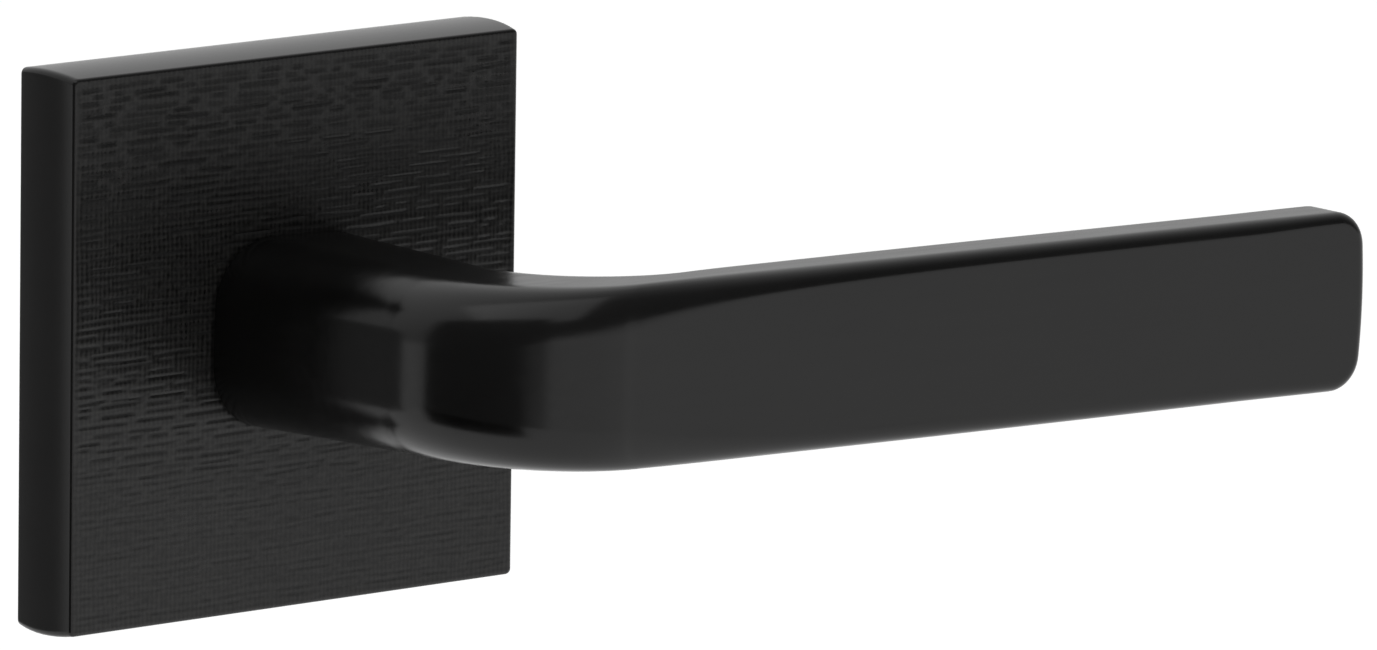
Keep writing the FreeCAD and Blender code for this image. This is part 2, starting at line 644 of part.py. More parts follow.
def tip_waste():
    """What is cut off the bar's end to leave round corners and a slightly bulged tip."""
    rise = GRIP_HEIGHT / 2 + 0.04
    flank = LEVER_REACH - TIP_BULGE
    start = LEVER_REACH - 20
    low = Vector(flank, -FAR, -rise)
    high = Vector(flank, -FAR, rise)
    back_low = Vector(start, -FAR, -rise)
    back_high = Vector(start, -FAR, rise)
    nose = Part.Arc(low, Vector(LEVER_REACH, -FAR, 0), high).toShape()
    sides = [Part.makeLine(back_low, low), nose, Part.makeLine(high, back_high)]
    sides.append(Part.makeLine(back_high, back_low))
    kept = Part.Face(Part.Wire(sides)).extrude(Vector(0, 2 * FAR, 0))
    corners = []
    for edge in edges_along(kept, AXIS):
        if edge.CenterOfMass.x > start + 1:
            corners.append(edge)
    kept = kept.makeFillet(TIP_CORNER_R, corners)
    waste = Part.makeBox(40, 2 * FAR, 4 * rise, Vector(start, -FAR, -2 * rise))
    return waste.cut(kept)


def make_lever_handle():
    lever = make_lever_body().cut(tip_waste())
    rim = []
    for edge in lever.Edges:
        near_tip = edge.CenterOfMass.x > LEVER_REACH - 8
        if near_tip and edge.BoundBox.YLength < GRIP_THICK_TIP / 2:
            rim.append(edge)
    lever = lever.makeFillet(TIP_EDGE_R, rim)
    base_y = -ROSE_DEPTH - NECK_GAP
    lever = lever.fuse(rod(SPIGOT_R, base_y - 1, base_y + SPIGOT_LENGTH))
    socket = rod(HUB_NOSE_R + SLIDING, HUB_NOSE_FRONT_Y - 1, 0)
    flats = HUB_NOSE_FLAT + SLIDING
    socket = socket.common(block(20, HUB_NOSE_FRONT_Y - 2, 1, -flats, flats))
    lever = lever.cut(socket)
    lever = lever.cut(upright(LEVER_SCREW_R + THREAD, -NECK_HEIGHT, 0, 0, LEVER_SCREW_Y))
    return lever


def make_lever_set_screw():
    tip = -SPINDLE_SIDE / 2
    screw = upright(LEVER_SCREW_R, tip - LEVER_SCREW_LENGTH, tip - 0.7, 0, LEVER_SCREW_Y)
    point = Part.makeCone(LEVER_SCREW_R, LEVER_SCREW_R - 0.7, 0.7, Vector(0, LEVER_SCREW_Y, tip - 0.7), UP)
    screw = screw.fuse(point)
    mouth = Vector(0, LEVER_SCREW_Y, tip - LEVER_SCREW_LENGTH)
    return screw.cut(hex_key(LEVER_SCREW_KEY, 2.4, mouth, UP))


def at_rest(shape):
    """A piece of the turning group, with the lever hanging at its small sag."""
    shape.rotate(Vector(0, 0, 0), AXIS, REST_SAG)
    return shape


os.makedirs("parts", exist_ok=True)

pieces = {
    "rose_cover": make_rose_cover(),
    "rose_set_screw": make_rose_set_screw(),
    "mounting_plate": make_mounting_plate(),
    "door_gasket": make_door_gasket(),
    "hub_bush": make_hub_bush(),
    "return_spring": make_return_spring(),
    "spring_cover": make_spring_cover(),
    "stop_pin_left": make_stop_pin(-1),
    "stop_pin_right": make_stop_pin(1),
    "through_bolt_left": make_through_bolt(-1),
    "through_bolt_right": make_through_bolt(1),
    "lock_washer_left": make_lock_washer(-1),
    "lock_washer_right": make_lock_washer(1),
    "drive_hub": at_rest(make_drive_hub()),
    "spindle": at_rest(make_spindle()),
    "hub_circlip": at_rest(make_hub_circlip()),
    "thrust_washer": at_rest(make_thrust_washer()),
    "spring_washer": at_rest(make_spring_washer()),
    "lever_handle": at_rest(make_lever_handle()),
    "neck_ring": at_rest(make_neck_ring()),
    "lever_set_screw": at_rest(make_lever_set_screw()),
}
for number, turn in enumerate((45, 135, 225, 315), start=1):
    pieces["cover_screw_" + str(number)] = make_cover_screw(turn)

for name, shape in pieces.items():
    shape.exportStep("parts/" + name + ".step")
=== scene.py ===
import json
import math

import bmesh
import bpy
import numpy as np
from mathutils import Matrix, Vector


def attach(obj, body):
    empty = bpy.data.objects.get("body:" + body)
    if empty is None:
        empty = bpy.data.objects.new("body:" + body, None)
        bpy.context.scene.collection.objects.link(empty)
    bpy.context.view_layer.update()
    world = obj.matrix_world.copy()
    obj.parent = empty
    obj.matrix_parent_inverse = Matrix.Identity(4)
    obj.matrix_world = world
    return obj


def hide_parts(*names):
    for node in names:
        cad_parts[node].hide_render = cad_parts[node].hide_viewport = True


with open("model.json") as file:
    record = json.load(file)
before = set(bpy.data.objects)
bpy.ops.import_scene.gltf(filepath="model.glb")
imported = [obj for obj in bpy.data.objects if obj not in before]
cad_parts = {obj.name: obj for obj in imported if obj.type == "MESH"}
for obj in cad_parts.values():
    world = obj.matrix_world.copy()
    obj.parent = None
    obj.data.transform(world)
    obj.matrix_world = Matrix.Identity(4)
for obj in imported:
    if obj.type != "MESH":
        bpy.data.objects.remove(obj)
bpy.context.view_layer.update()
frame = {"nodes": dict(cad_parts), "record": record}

# Sizes of the door lever handle, in metres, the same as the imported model's.
# The origin lies on the turning axis in the door-side face of the rose. -Y is towards the room.
MM = 0.001
ROSE_SIDE = 66.7 * MM
ROSE_DEPTH = 10.3 * MM
ROSE_FRONT_IN = 0.55 * MM
ROSE_BACK_IN = 0.4 * MM
ROSE_WIDEST_Y = -0.398 * ROSE_DEPTH
ROSE_CORNER_R = 0.7 * MM
ROSE_FRONT_EDGE_R = 0.4 * MM
ROSE_BACK_EDGE_R = 0.6 * MM
ROSE_SIDE_WALL = 2.55 * MM
ROSE_FRONT_WALL = 2.0 * MM
ROSE_HOLE_R = 11.0 * MM
CAVITY_CORNER_R = 1.85 * MM
ROSE_DROP = 0.8 * MM
ROSE_SCREW_R = 1.52 * MM
ROSE_SCREW_Y = -2.8 * MM
NECK_WIDTH = 24.8 * MM
NECK_HEIGHT = 22.6 * MM
NECK_BASE_LOW = 0.5 * MM
NECK_CORNER_R = 8.1 * MM
WAIST_SIDE = 21.2 * MM
WAIST_CORNER_R = 7.0 * MM
ELBOW_END_CORNER_R = 5.0 * MM
NECK_GAP = 0.4 * MM
GRIP_PLANE_Y = -56.3 * MM
GRIP_HEIGHT = 21.8 * MM
GRIP_THICK_ROOT = 8.8 * MM
GRIP_THICK_TIP = 7.4 * MM
GRIP_EDGE_R = 1.6 * MM
LEVER_REACH = 124.0 * MM
ELBOW_OUTER_R = 20.0 * MM
ELBOW_INNER_R = 15.0 * MM
TIP_CORNER_R = 4.4 * MM
TIP_BULGE = 0.7 * MM
TIP_EDGE_R = 1.3 * MM
TIP_LENGTH = 20.0 * MM
SPIGOT_R = 9.5 * MM
SPIGOT_LENGTH = 2.0 * MM
SOCKET_R = 7.1 * MM
SOCKET_FLAT = 6.0 * MM
SOCKET_FRONT_Y = -31.0 * MM
LEVER_SCREW_R = 2.52 * MM
LEVER_SCREW_Y = -19.0 * MM
REST_SAG = math.radians(1.2)
BOLT_X = 19.0 * MM
BOLT_R = 2.0 * MM
BOLT_ROOT_R = 1.62 * MM
BOLT_PITCH = 0.7 * MM
BOLT_THREAD_START = 8.0 * MM
BOLT_THREAD_END = 13.5 * MM

# How finely the visible surfaces are divided
FACE_COLUMNS = 200
FACE_ROWS = 330
ARC_PARTS = 8
FLAT_SUPPORT = 0.3 * MM
NECK_STEPS = 24
ELBOW_STEPS = 48
GRIP_STEPS = 80
TIP_STEPS = 12
THREAD_PARTS = 28

# Relief of the rose's front face, in millimetres, and the seeds of its random pattern
GROOVE_DEPTH = 0.11
WAVE_DEPTH = 0.010
GROOVE_SEED = 11
WAVE_SEED = 5


def new_object(name, mesh):
    obj = bpy.data.objects.new(name, mesh)
    bpy.context.scene.collection.objects.link(obj)
    return obj


def smooth(mesh, degrees=32):
    mesh.polygons.foreach_set("use_smooth", [True] * len(mesh.polygons))
    mesh.set_sharp_from_angle(angle=math.radians(degrees))


def applied(obj):
    """Replaces an object's mesh by its evaluated one and clears the modifiers."""
    graph = bpy.context.evaluated_depsgraph_get()
    mesh = bpy.data.meshes.new_from_object(obj.evaluated_get(graph))
    obj.modifiers.clear()
    obj.data = mesh
    return obj


def solid_rod(radius, y_start, y_end, parts=64, flat=None):
    """A cylinder along Y, with its top and bottom cut to flats if asked."""
    edge = bmesh.new()
    low, high = [], []
    for step in range(parts):
        angle = 2 * math.pi * step / parts
        x, z = radius * math.cos(angle), radius * math.sin(angle)
        if flat is not None:
            z = max(-flat, min(flat, z))
        low.append(edge.verts.new((x, y_start, z)))
        high.append(edge.verts.new((x, y_end, z)))
    for step in range(parts):
        after = (step + 1) % parts
        edge.faces.new((low[step], low[after], high[after], high[step]))
    edge.faces.new(low[::-1])
    edge.faces.new(high)
    bmesh.ops.recalc_face_normals(edge, faces=edge.faces)
    mesh = bpy.data.meshes.new("tool")
    edge.to_mesh(mesh)
    edge.free()
    return mesh


def carve(obj, mesh, operation):
    """Joins a tool mesh to an object or cuts it away."""
    tool = new_object("tool", mesh)
    step = obj.modifiers.new("step", "BOOLEAN")
    step.operation = operation
    step.solver = "EXACT"
    step.object = tool
    applied(obj)
    bpy.data.objects.remove(tool)


def blend(first, last, part):
    """A value eased from one to another."""
    part = min(max(part, 0.0), 1.0)
    part = part * part * (3 - 2 * part)
    return first + (last - first) * part


# ---------------------------------------------------------------- the lever


def grip_half(x):
    """Half the grip's thickness at a distance from the axis."""
    part = min(max(x / LEVER_REACH, 0.0), 1.2)
    return (GRIP_THICK_ROOT + (GRIP_THICK_TIP - GRIP_THICK_ROOT) * part) / 2


def section_ring(outer, inner, height, radius):
    """A rounded rectangle between two plan points, as top profile, back, bottom profile, front."""
    middle = (outer + inner) / 2
    across = (inner - outer).normalized()
    half = (inner - outer).length / 2
    rise = height / 2
    radius = min(radius, half * 0.98, rise * 0.98)
    profile = [(-half, rise - radius - FLAT_SUPPORT)]
    for step in range(ARC_PARTS + 1):
        angle = math.pi / 2 * step / ARC_PARTS
        across_at = -half + radius - radius * math.cos(angle)
        profile.append((across_at, rise - radius + radius * math.sin(angle)))
    flat = half - radius
    for part in (-0.8, -0.3, 0.3, 0.8):
        profile.append((flat * part, rise))
    for step in range(ARC_PARTS + 1):
        angle = math.pi / 2 * (1 - step / ARC_PARTS)
        profile.append((half - radius + radius * math.cos(angle), rise - radius + radius * math.sin(angle)))
    profile.append((half, rise - radius - FLAT_SUPPORT))
    reach = rise - radius - FLAT_SUPPORT
    back = [(half, reach * part) for part in (0.6, 0.2, -0.2, -0.6)]
    under = [(u, -v) for u, v in reversed(profile)]
    front = [(-half, reach * part) for part in (-0.6, -0.2, 0.2, 0.6)]
    ring = []
    for u, v in profile + back + under + front:
        ring.append(middle + across * u + Vector((0, 0, v)))
    return ring


def lever_stations():
    """Plan points, height and corner radius along the neck, the elbow and the grip."""
    base_y = -ROSE_DEPTH - NECK_GAP
    waist = WAIST_SIDE / 2
    outer_centre = Vector((ELBOW_OUTER_R - waist, GRIP_PLANE_Y - grip_half(0) + ELBOW_OUTER_R, 0))
    inner_centre = Vector((ELBOW_INNER_R + waist, GRIP_PLANE_Y + grip_half(0) + ELBOW_INNER_R, 0))
    stations = []
    for step in range(NECK_STEPS):
        part = step / NECK_STEPS
        half = NECK_WIDTH / 2 + (waist - NECK_WIDTH / 2) * part
        low = -NECK_BASE_LOW * (1 - part)
        outer = Vector((-half, base_y + (outer_centre.y - base_y) * part, low))
        inner = Vector((half, base_y + (inner_centre.y - base_y) * part, low))
        height = NECK_HEIGHT + (WAIST_SIDE - NECK_HEIGHT) * part
        stations.append((outer, inner, height, blend(NECK_CORNER_R, WAIST_CORNER_R, part)))
    for step in range(ELBOW_STEPS):
        part = step / ELBOW_STEPS
        angle = math.pi / 2 * part
        arm = Vector((-math.cos(angle), -math.sin(angle), 0))
        outer = outer_centre + arm * ELBOW_OUTER_R
        inner = inner_centre + arm * ELBOW_INNER_R
        height = blend(WAIST_SIDE, GRIP_HEIGHT, part * 0.7)
        stations.append((outer, inner, height, blend(WAIST_CORNER_R, ELBOW_END_CORNER_R, part)))
    start_x = outer_centre.x
    lead = inner_centre.x - start_x
    end_x = LEVER_REACH - TIP_LENGTH
    for step in range(GRIP_STEPS + 1):
        x = start_x + (end_x - start_x) * step / GRIP_STEPS
        lag = max(0.0, 1 - (x - start_x) / (45 * MM)) ** 2
        outer = Vector((x, GRIP_PLANE_Y - grip_half(x), 0))
        inner = Vector((x + lead * lag, GRIP_PLANE_Y + grip_half(x), 0))
        spread = ELBOW_END_CORNER_R - GRIP_EDGE_R
        corner = GRIP_EDGE_R + spread * math.exp(-(x - start_x) / (16 * MM))
        height = blend(WAIST_SIDE, GRIP_HEIGHT, 0.7 + (x - start_x) / (60 * MM))
        stations.append((outer, inner, height, corner))
    return stations


def tip_outline(inset_of):
    """Points round the grip's end from its top edge to its bottom edge, each set in by its own inset."""
    rise = GRIP_HEIGHT / 2
    nose_r = (rise * rise + TIP_BULGE * TIP_BULGE) / (2 * TIP_BULGE)
    nose_x = LEVER_REACH - nose_r
    corner_z = rise - TIP_CORNER_R
    corner_x = nose_x + math.sqrt((nose_r - TIP_CORNER_R) ** 2 - corner_z ** 2)
    meet = math.atan2(corner_z, corner_x - nose_x)
    start_x = LEVER_REACH - TIP_LENGTH
    upper = []
    for step in range(TIP_STEPS + 1):
        x = start_x + (corner_x - start_x) * step / TIP_STEPS
        inset = inset_of(step / TIP_STEPS)
        upper.append((x, rise - inset))
    for step in range(1, TIP_STEPS + 1):
        angle = math.pi / 2 + (meet - math.pi / 2) * step / TIP_STEPS
        reach = TIP_CORNER_R - inset_of(1.0)
        upper.append((corner_x + reach * math.cos(angle), corner_z + reach * math.sin(angle)))
    for step in range(1, TIP_STEPS + 1):
        angle = meet * (1 - step / TIP_STEPS)
        reach = nose_r - inset_of(1.0)
        upper.append((nose_x + reach * math.cos(angle), reach * math.sin(angle)))
    lower = [(x, -z) for x, z in reversed(upper[:-1])]
    return upper + lower


def tip_edge_radius(part):
    """The rim's rounding, from the grip's long edges to the end."""
    start = GRIP_EDGE_R + 0.01 * MM
    return blend(start, TIP_EDGE_R, part)


def tip_rows():
    """Rows of points round the end, from the front face over the rounded rim to the back face."""
    rows = []

    def row(inset_of, depth_of, front):
        points = []
        outline = tip_outline(inset_of)
        for number, (x, z) in enumerate(outline):
            side = min(number, len(outline) - 1 - number)
            part = min(side / TIP_STEPS, 1.0)
            depth = depth_of(part)
            if front:
                y = GRIP_PLANE_Y - grip_half(x) + depth
            else:
                y = GRIP_PLANE_Y + grip_half(x) - depth
            points.append(Vector((x, y, z)))
        rows.append(points)

    row(lambda p: tip_edge_radius(p) + FLAT_SUPPORT, lambda p: 0.0, True)
    for step in range(ARC_PARTS + 1):
        angle = math.pi / 2 * step / ARC_PARTS
        inset = 1 - math.sin(angle)
        depth = 1 - math.cos(angle)
        row(lambda p, k=inset: tip_edge_radius(p) * k, lambda p, k=depth: tip_edge_radius(p) * k, True)
    front_edge = rows[-1]
    for step in range(ARC_PARTS + 1):
        angle = math.pi / 2 * (1 - step / ARC_PARTS)
        inset = 1 - math.sin(angle)
        depth = 1 - math.cos(angle)
        row(lambda p, k=inset: tip_edge_radius(p) * k, lambda p, k=depth: tip_edge_radius(p) * k, False)
    row(lambda p: tip_edge_radius(p) + FLAT_SUPPORT, lambda p: 0.0, False)
    closing = rows[ARC_PARTS + 2:]
    rows = rows[:ARC_PARTS + 2]
    back_edge = closing[0]
    for part in (0.1, 0.35, 0.65, 0.9):
        rows.append([a.lerp(b, part) for a, b in zip(front_edge, back_edge)])
    return rows + closing


def make_lever():
    shape = bmesh.new()
    rings = []
    for outer, inner, height, corner in lever_stations():
        rings.append([shape.verts.new(p) for p in section_ring(outer, inner, height, corner)])
    for ring, following in zip(rings, rings[1:]):
        count = len(ring)
        for step in range(count):
            after = (step + 1) % count
            shape.faces.new((ring[step], ring[after], following[after], following[step]))
    shape.faces.new(rings[0][::-1])
    last = rings[-1]
    profile = ARC_PARTS * 2 + 8
    top = last[:profile]
    back = last[profile:profile + 4]
    under = last[profile + 4:2 * profile + 4]
    front = last[2 * profile + 4:]
    columns = [top]
    rows = tip_rows()
    for step in range(1, len(rows[0]) - 1):
        columns.append([shape.verts.new(row[step]) for row in rows])
    columns.append(under[::-1])
    for column, following in zip(columns, columns[1:]):
        for step in range(profile - 1):
            shape.faces.new((column[step], column[step + 1], following[step + 1], following[step]))
    shape.faces.new([c[0] for c in columns] + front)
    shape.faces.new([c[-1] for c in columns][::-1] + back)
    bmesh.ops.recalc_face_normals(shape, faces=shape.faces)
    mesh = bpy.data.meshes.new("lever")
    shape.to_mesh(mesh)
    shape.free()
    lever = new_object("lever", mesh)
    base_y = -ROSE_DEPTH - NECK_GAP
    carve(lever, solid_rod(SPIGOT_R, base_y - MM, base_y + SPIGOT_LENGTH), "UNION")
    carve(lever, solid_rod(SOCKET_R, SOCKET_FRONT_Y, 0.0, flat=SOCKET_FLAT), "DIFFERENCE")
    hole = solid_rod(LEVER_SCREW_R, 0.0, NECK_HEIGHT, parts=48)
    hole.transform(Matrix.Translation((0, LEVER_SCREW_Y, 0)) @ Matrix.Rotation(-math.pi / 2, 4, "X"))
    carve(lever, hole, "DIFFERENCE")
    lever.data.transform(Matrix.Rotation(REST_SAG, 4, "Y"))
    smooth(lever.data)
    return lever


# ---------------------------------------------------------------- the rose


def groove_map(x, z):
    """How deep, from 0 to 1, the broken wavy grooves of the front face are at each point."""
    random = np.random.RandomState(GROOVE_SEED)
    depth = np.zeros_like(x)
    half = ROSE_SIDE / 2 / MM
    level = -half + 1.2
    while level < half - 1.0:
        pitch = random.uniform(0.70, 1.15)
        waves = []
        for _ in range(2):
            size = random.uniform(0.03, 0.10)
            wavelength = random.uniform(12, 30)
            phase = random.uniform(0, 6.3)
            waves.append((size, wavelength, phase))
        start = -half - random.uniform(0, 4)
        while start < half:
            length = random.uniform(1.6, 8.0)
            end = start + length
            weight = random.uniform(0.5, 1.0)
            width = random.uniform(0.12, 0.19)
            drift = random.uniform(-0.16, 0.16)
            # Grooves are shallower towards the bottom, and so is the painted shade the rose material puts in
            # them.
            fade = 0.28 + 0.72 * blend(0.0, 1.0, (level + 21) / 15)
            near = (x > start) & (x < end) & (np.abs(z - level) < 1.0)
            px, pz = x[near], z[near]
            centre = level + drift
            for size, wavelength, phase in waves:
                centre = centre + size * np.sin(2 * math.pi * px / wavelength + phase)
            along = np.minimum(px - start, end - px)
            taper = np.clip(along / 0.6, 0, 1)
            value = weight * fade * taper * np.exp(-((pz - centre) / width) ** 2)
            depth[near] = np.maximum(depth[near], value)
            start = end + random.uniform(0.2, 1.4)
        level += pitch
    return depth


def face_relief(x, z):
    """Depth of the front face's relief in millimetres, and how much of a groove each point is."""
    random = np.random.RandomState(WAVE_SEED)
    half = ROSE_SIDE / 2 / MM
    groove = groove_map(x, z)
    weave = np.zeros_like(x)
    for _ in range(6):
        wavelength = random.uniform(1.6, 4.5)
        tilt = random.uniform(-0.25, 0.25)
        phase = random.uniform(0, 6.3)
        weave += np.sin(2 * math.pi * (z + tilt * x) / wavelength + phase)
    border = np.clip((half - np.maximum(np.abs(x), np.abs(z)) - 1.1) / 0.9, 0, 1)
    groove = groove * border
    depth = GROOVE_DEPTH * groove + WAVE_DEPTH * border * (0.5 + weave / 12)
    return depth, groove


def rounded_square(points, half, radius):
    """Points of a square's border pulled onto a square with round corners."""
    scaled = points * half
    core = np.clip(scaled, -(half - radius), half - radius)
    arm = scaled - core
    length = np.maximum(np.hypot(arm[:, 0], arm[:, 1]), 1e-12)
    return core + arm / length[:, None] * radius


def side_profile():
    """Half width and Y of the rose's skin, from the front edge's start round to the cavity."""
    half = ROSE_SIDE / 2
    front = (half - ROSE_FRONT_IN, -ROSE_DEPTH)
    back = (half - ROSE_BACK_IN, 0.0)
    widest = (half, ROSE_WIDEST_Y)

    def crown(y):
        """The half width of the crowned side at a depth, a parabola through its three points."""
        total = 0.0
        for a, b, c in ((front, widest, back), (widest, front, back), (back, front, widest)):
            total += a[0] * (y - b[1]) * (y - c[1]) / ((a[1] - b[1]) * (a[1] - c[1]))
        return total

    rows = []
    y_edge = -ROSE_DEPTH + ROSE_FRONT_EDGE_R
    for step in range(5):
        angle = math.pi / 2 * step / 4
        width = crown(y_edge) - ROSE_FRONT_EDGE_R * (1 - math.sin(angle))
        rows.append((width, -ROSE_DEPTH + ROSE_FRONT_EDGE_R * (1 - math.cos(angle))))
    y_back = -ROSE_BACK_EDGE_R
    for step in range(1, 9):
        y = y_edge + (y_back - y_edge) * step / 8
        rows.append((crown(y), y))
    for step in range(1, 5):
        angle = math.pi / 2 * step / 4
        width = crown(y_back) - ROSE_BACK_EDGE_R * (1 - math.cos(angle))
        rows.append((width, -ROSE_BACK_EDGE_R * (1 - math.sin(angle))))
    cavity = half - ROSE_SIDE_WALL
    rows.append((cavity, 0.0))
    rows.append((cavity, -ROSE_DEPTH + ROSE_FRONT_WALL))
    return rows


def make_rose():
    columns, rows = FACE_COLUMNS, FACE_ROWS
    profile = side_profile()
    flat_half = profile[0][0]
    across = np.linspace(-1, 1, columns + 1)
    upward = np.linspace(-1, 1, rows + 1)
    gx, gz = np.meshgrid(across, upward)
    x, z = gx * flat_half, gz * flat_half
    depth, groove = face_relief(x / MM, z / MM)
    reach = np.hypot(x, z)
    cell = 2 * flat_half / columns
    near = np.abs(reach - ROSE_HOLE_R) < cell * 0.75
    scale = np.where(near, ROSE_HOLE_R / np.maximum(reach, 1e-9), 1.0)
    x, z = x * scale, z * scale
    flat_zone = np.clip((reach / MM - 11.2) / 0.8, 0, 1)
    depth, groove = depth * flat_zone, groove * flat_zone
    y = -ROSE_DEPTH + depth * MM
    points = np.stack([x, y, z], axis=-1).reshape(-1, 3)
    number = np.arange(points.shape[0]).reshape(rows + 1, columns + 1)
    faces = np.stack([number[:-1, :-1], number[:-1, 1:], number[1:, 1:], number[1:, :-1]], axis=-1)
    faces = faces.reshape(-1, 4)
    middles = points[faces].mean(axis=1)
    faces = faces[np.hypot(middles[:, 0], middles[:, 2]) > ROSE_HOLE_R - cell * 0.05]
    border = np.concatenate([
        number[0, :-1],
        number[:-1, -1],
        number[-1, :0:-1],
        number[:0:-1, 0],
    ])
    square = np.stack([gx.reshape(-1)[border], gz.reshape(-1)[border]], axis=-1)
    count = len(border)
    first_corner = ROSE_CORNER_R - ROSE_FRONT_EDGE_R
    rim = rounded_square(square, flat_half, first_corner)
    points[border, 0], points[border, 2] = rim[:, 0], rim[:, 1]
    points[border, 1] = -ROSE_DEPTH
    groove_values = [groove.reshape(-1)]
    face_values = [np.ones(groove.size)]
    all_points = [points]
    all_faces = [faces]
    earlier = border
    total = points.shape[0]
    for place, (width, level) in enumerate(profile[1:], start=1):
        corner = ROSE_CORNER_R
        if place < 5:
            corner = first_corner + ROSE_FRONT_EDGE_R * math.sin(math.pi / 2 * place / 4)
        if place >= len(profile) - 2:
            corner = CAVITY_CORNER_R
        ring = rounded_square(square, width, corner)
        stacked = np.stack([ring[:, 0], np.full(count, level), ring[:, 1]], axis=-1)
        indices = np.arange(total, total + count)
        total += count
        after = np.roll(np.arange(count), -1)
        here = np.arange(count)
        quads = np.stack([earlier[here], earlier[after], indices[after], indices[here]], axis=-1)
        all_points.append(stacked)
        all_faces.append(quads)
        groove_values.append(np.zeros(count))
        face_values.append(np.zeros(count))
        earlier = indices
    vertices = np.concatenate(all_points)
    quads = np.concatenate(all_faces)
    used = np.zeros(len(vertices), bool)
    used[quads.reshape(-1)] = True
    renumber = np.cumsum(used) - 1
    mesh = bpy.data.meshes.new("rose")
    mesh.from_pydata(vertices[used].tolist(), [], renumber[quads].tolist())
    # The groove attribute is also the mask for the rose material's painted groove shade.
    for name, values in (("groove", groove_values), ("face", face_values)):
        layer = mesh.attributes.new(name, "FLOAT", "POINT")
        layer.data.foreach_set("value", np.concatenate(values)[used].astype(np.float32))
    shape = bmesh.new()
    shape.from_mesh(mesh)
    close_rose(shape)
    shape.to_mesh(mesh)
    shape.free()
    rose = new_object("rose", mesh)
    screw = solid_rod(ROSE_SCREW_R, 0.0, 6 * MM, parts=40)
    turn = Matrix.Rotation(-math.pi / 2, 4, "X")
    screw.transform(Matrix.Translation((0, ROSE_SCREW_Y, -ROSE_SIDE / 2 + 4 * MM)) @ turn)
    carve(rose, screw, "DIFFERENCE")
    rose.data.transform(Matrix.Translation((0, 0, -ROSE_DROP)))
    smooth(rose.data, 38)
    return rose


def close_rose(shape):
    """Adds the hole's wall and the cavity's ceiling to the open skin."""
    inner_y = -ROSE_DEPTH + ROSE_FRONT_WALL
    hole_edges, cavity_edges = [], []
    for edge in shape.edges:
        if not edge.is_boundary:
            continue
        middle = (edge.verts[0].co + edge.verts[1].co) / 2
        if math.hypot(middle.x, middle.z) < ROSE_HOLE_R * 1.2:
            hole_edges.append(edge)
        else:
            cavity_edges.append(edge)
    made = bmesh.ops.extrude_edge_only(shape, edges=hole_edges)
    wall_edges = []
    for item in made["geom"]:
        if isinstance(item, bmesh.types.BMVert):
            item.co.y = inner_y
        if isinstance(item, bmesh.types.BMEdge) and item.is_boundary:
            wall_edges.append(item)
    bmesh.ops.triangle_fill(shape, edges=wall_edges + cavity_edges, use_beauty=False)
    bmesh.ops.recalc_face_normals(shape, faces=shape.faces)


# ---------------------------------------------------------------- the through bolts


def make_bolt(name, node, x_centre):
    """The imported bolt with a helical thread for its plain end, as an open skin not joined to the shank."""
    mesh = frame["nodes"][node].data.copy()
    shape = bmesh.new()
    shape.from_mesh(mesh)
    bmesh.ops.remove_doubles(shape, verts=shape.verts, dist=1e-7)
    plain = []
    for face in shape.faces:
        centre = face.calc_center_median()
        inside = BOLT_THREAD_START + 1e-5 < centre.y < BOLT_THREAD_END - 1e-5
        if inside:
            plain.append(face)
    bmesh.ops.delete(shape, geom=plain, context="FACES")
    parts = THREAD_PARTS
    turns = int((BOLT_THREAD_END - BOLT_THREAD_START) / BOLT_PITCH)
    levels = ((0.0, BOLT_ROOT_R), (0.12, BOLT_ROOT_R), (0.46, BOLT_R), (0.58, BOLT_R), (0.92, BOLT_ROOT_R))
    strips = []
    for share, radius in levels:
        strip = []
        for step in range(parts * turns + 1):
            angle = 2 * math.pi * step / parts
            along = BOLT_THREAD_START + BOLT_PITCH * (step / parts + share)
            along = min(along, BOLT_THREAD_END)
            grow = min(1.0, step / parts, (parts * turns - step) / parts)
            reach = BOLT_ROOT_R + (radius - BOLT_ROOT_R) * grow
            position = (x_centre + reach * math.cos(angle), along, reach * math.sin(angle))
            strip.append(shape.verts.new(position))
        strips.append(strip)
    for strip, following in zip(strips, strips[1:]):
        for a, b, c, d in zip(strip, strip[1:], following[1:], following):
            shape.faces.new((a, b, c, d))
    last, first = strips[-1], strips[0]
    for step in range(parts * (turns - 1)):
        shape.faces.new((last[step], last[step + 1], first[step + parts + 1], first[step + parts]))
    for level in (BOLT_THREAD_START, BOLT_THREAD_END):
        rim = []
        for step in range(parts):
            angle = 2 * math.pi * step / parts
            position = (x_centre + BOLT_R * math.cos(angle), level, BOLT_R * math.sin(angle))
            rim.append(shape.verts.new(position))
        shape.faces.new(rim)
    bmesh.ops.recalc_face_normals(shape, faces=shape.faces)
    shape.to_mesh(mesh)
    shape.free()
    bolt = new_object(name, mesh)
    smooth(mesh, 28)
    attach(bolt, "rose")
    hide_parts(node)
    return bolt


# ---------------------------------------------------------------- materials


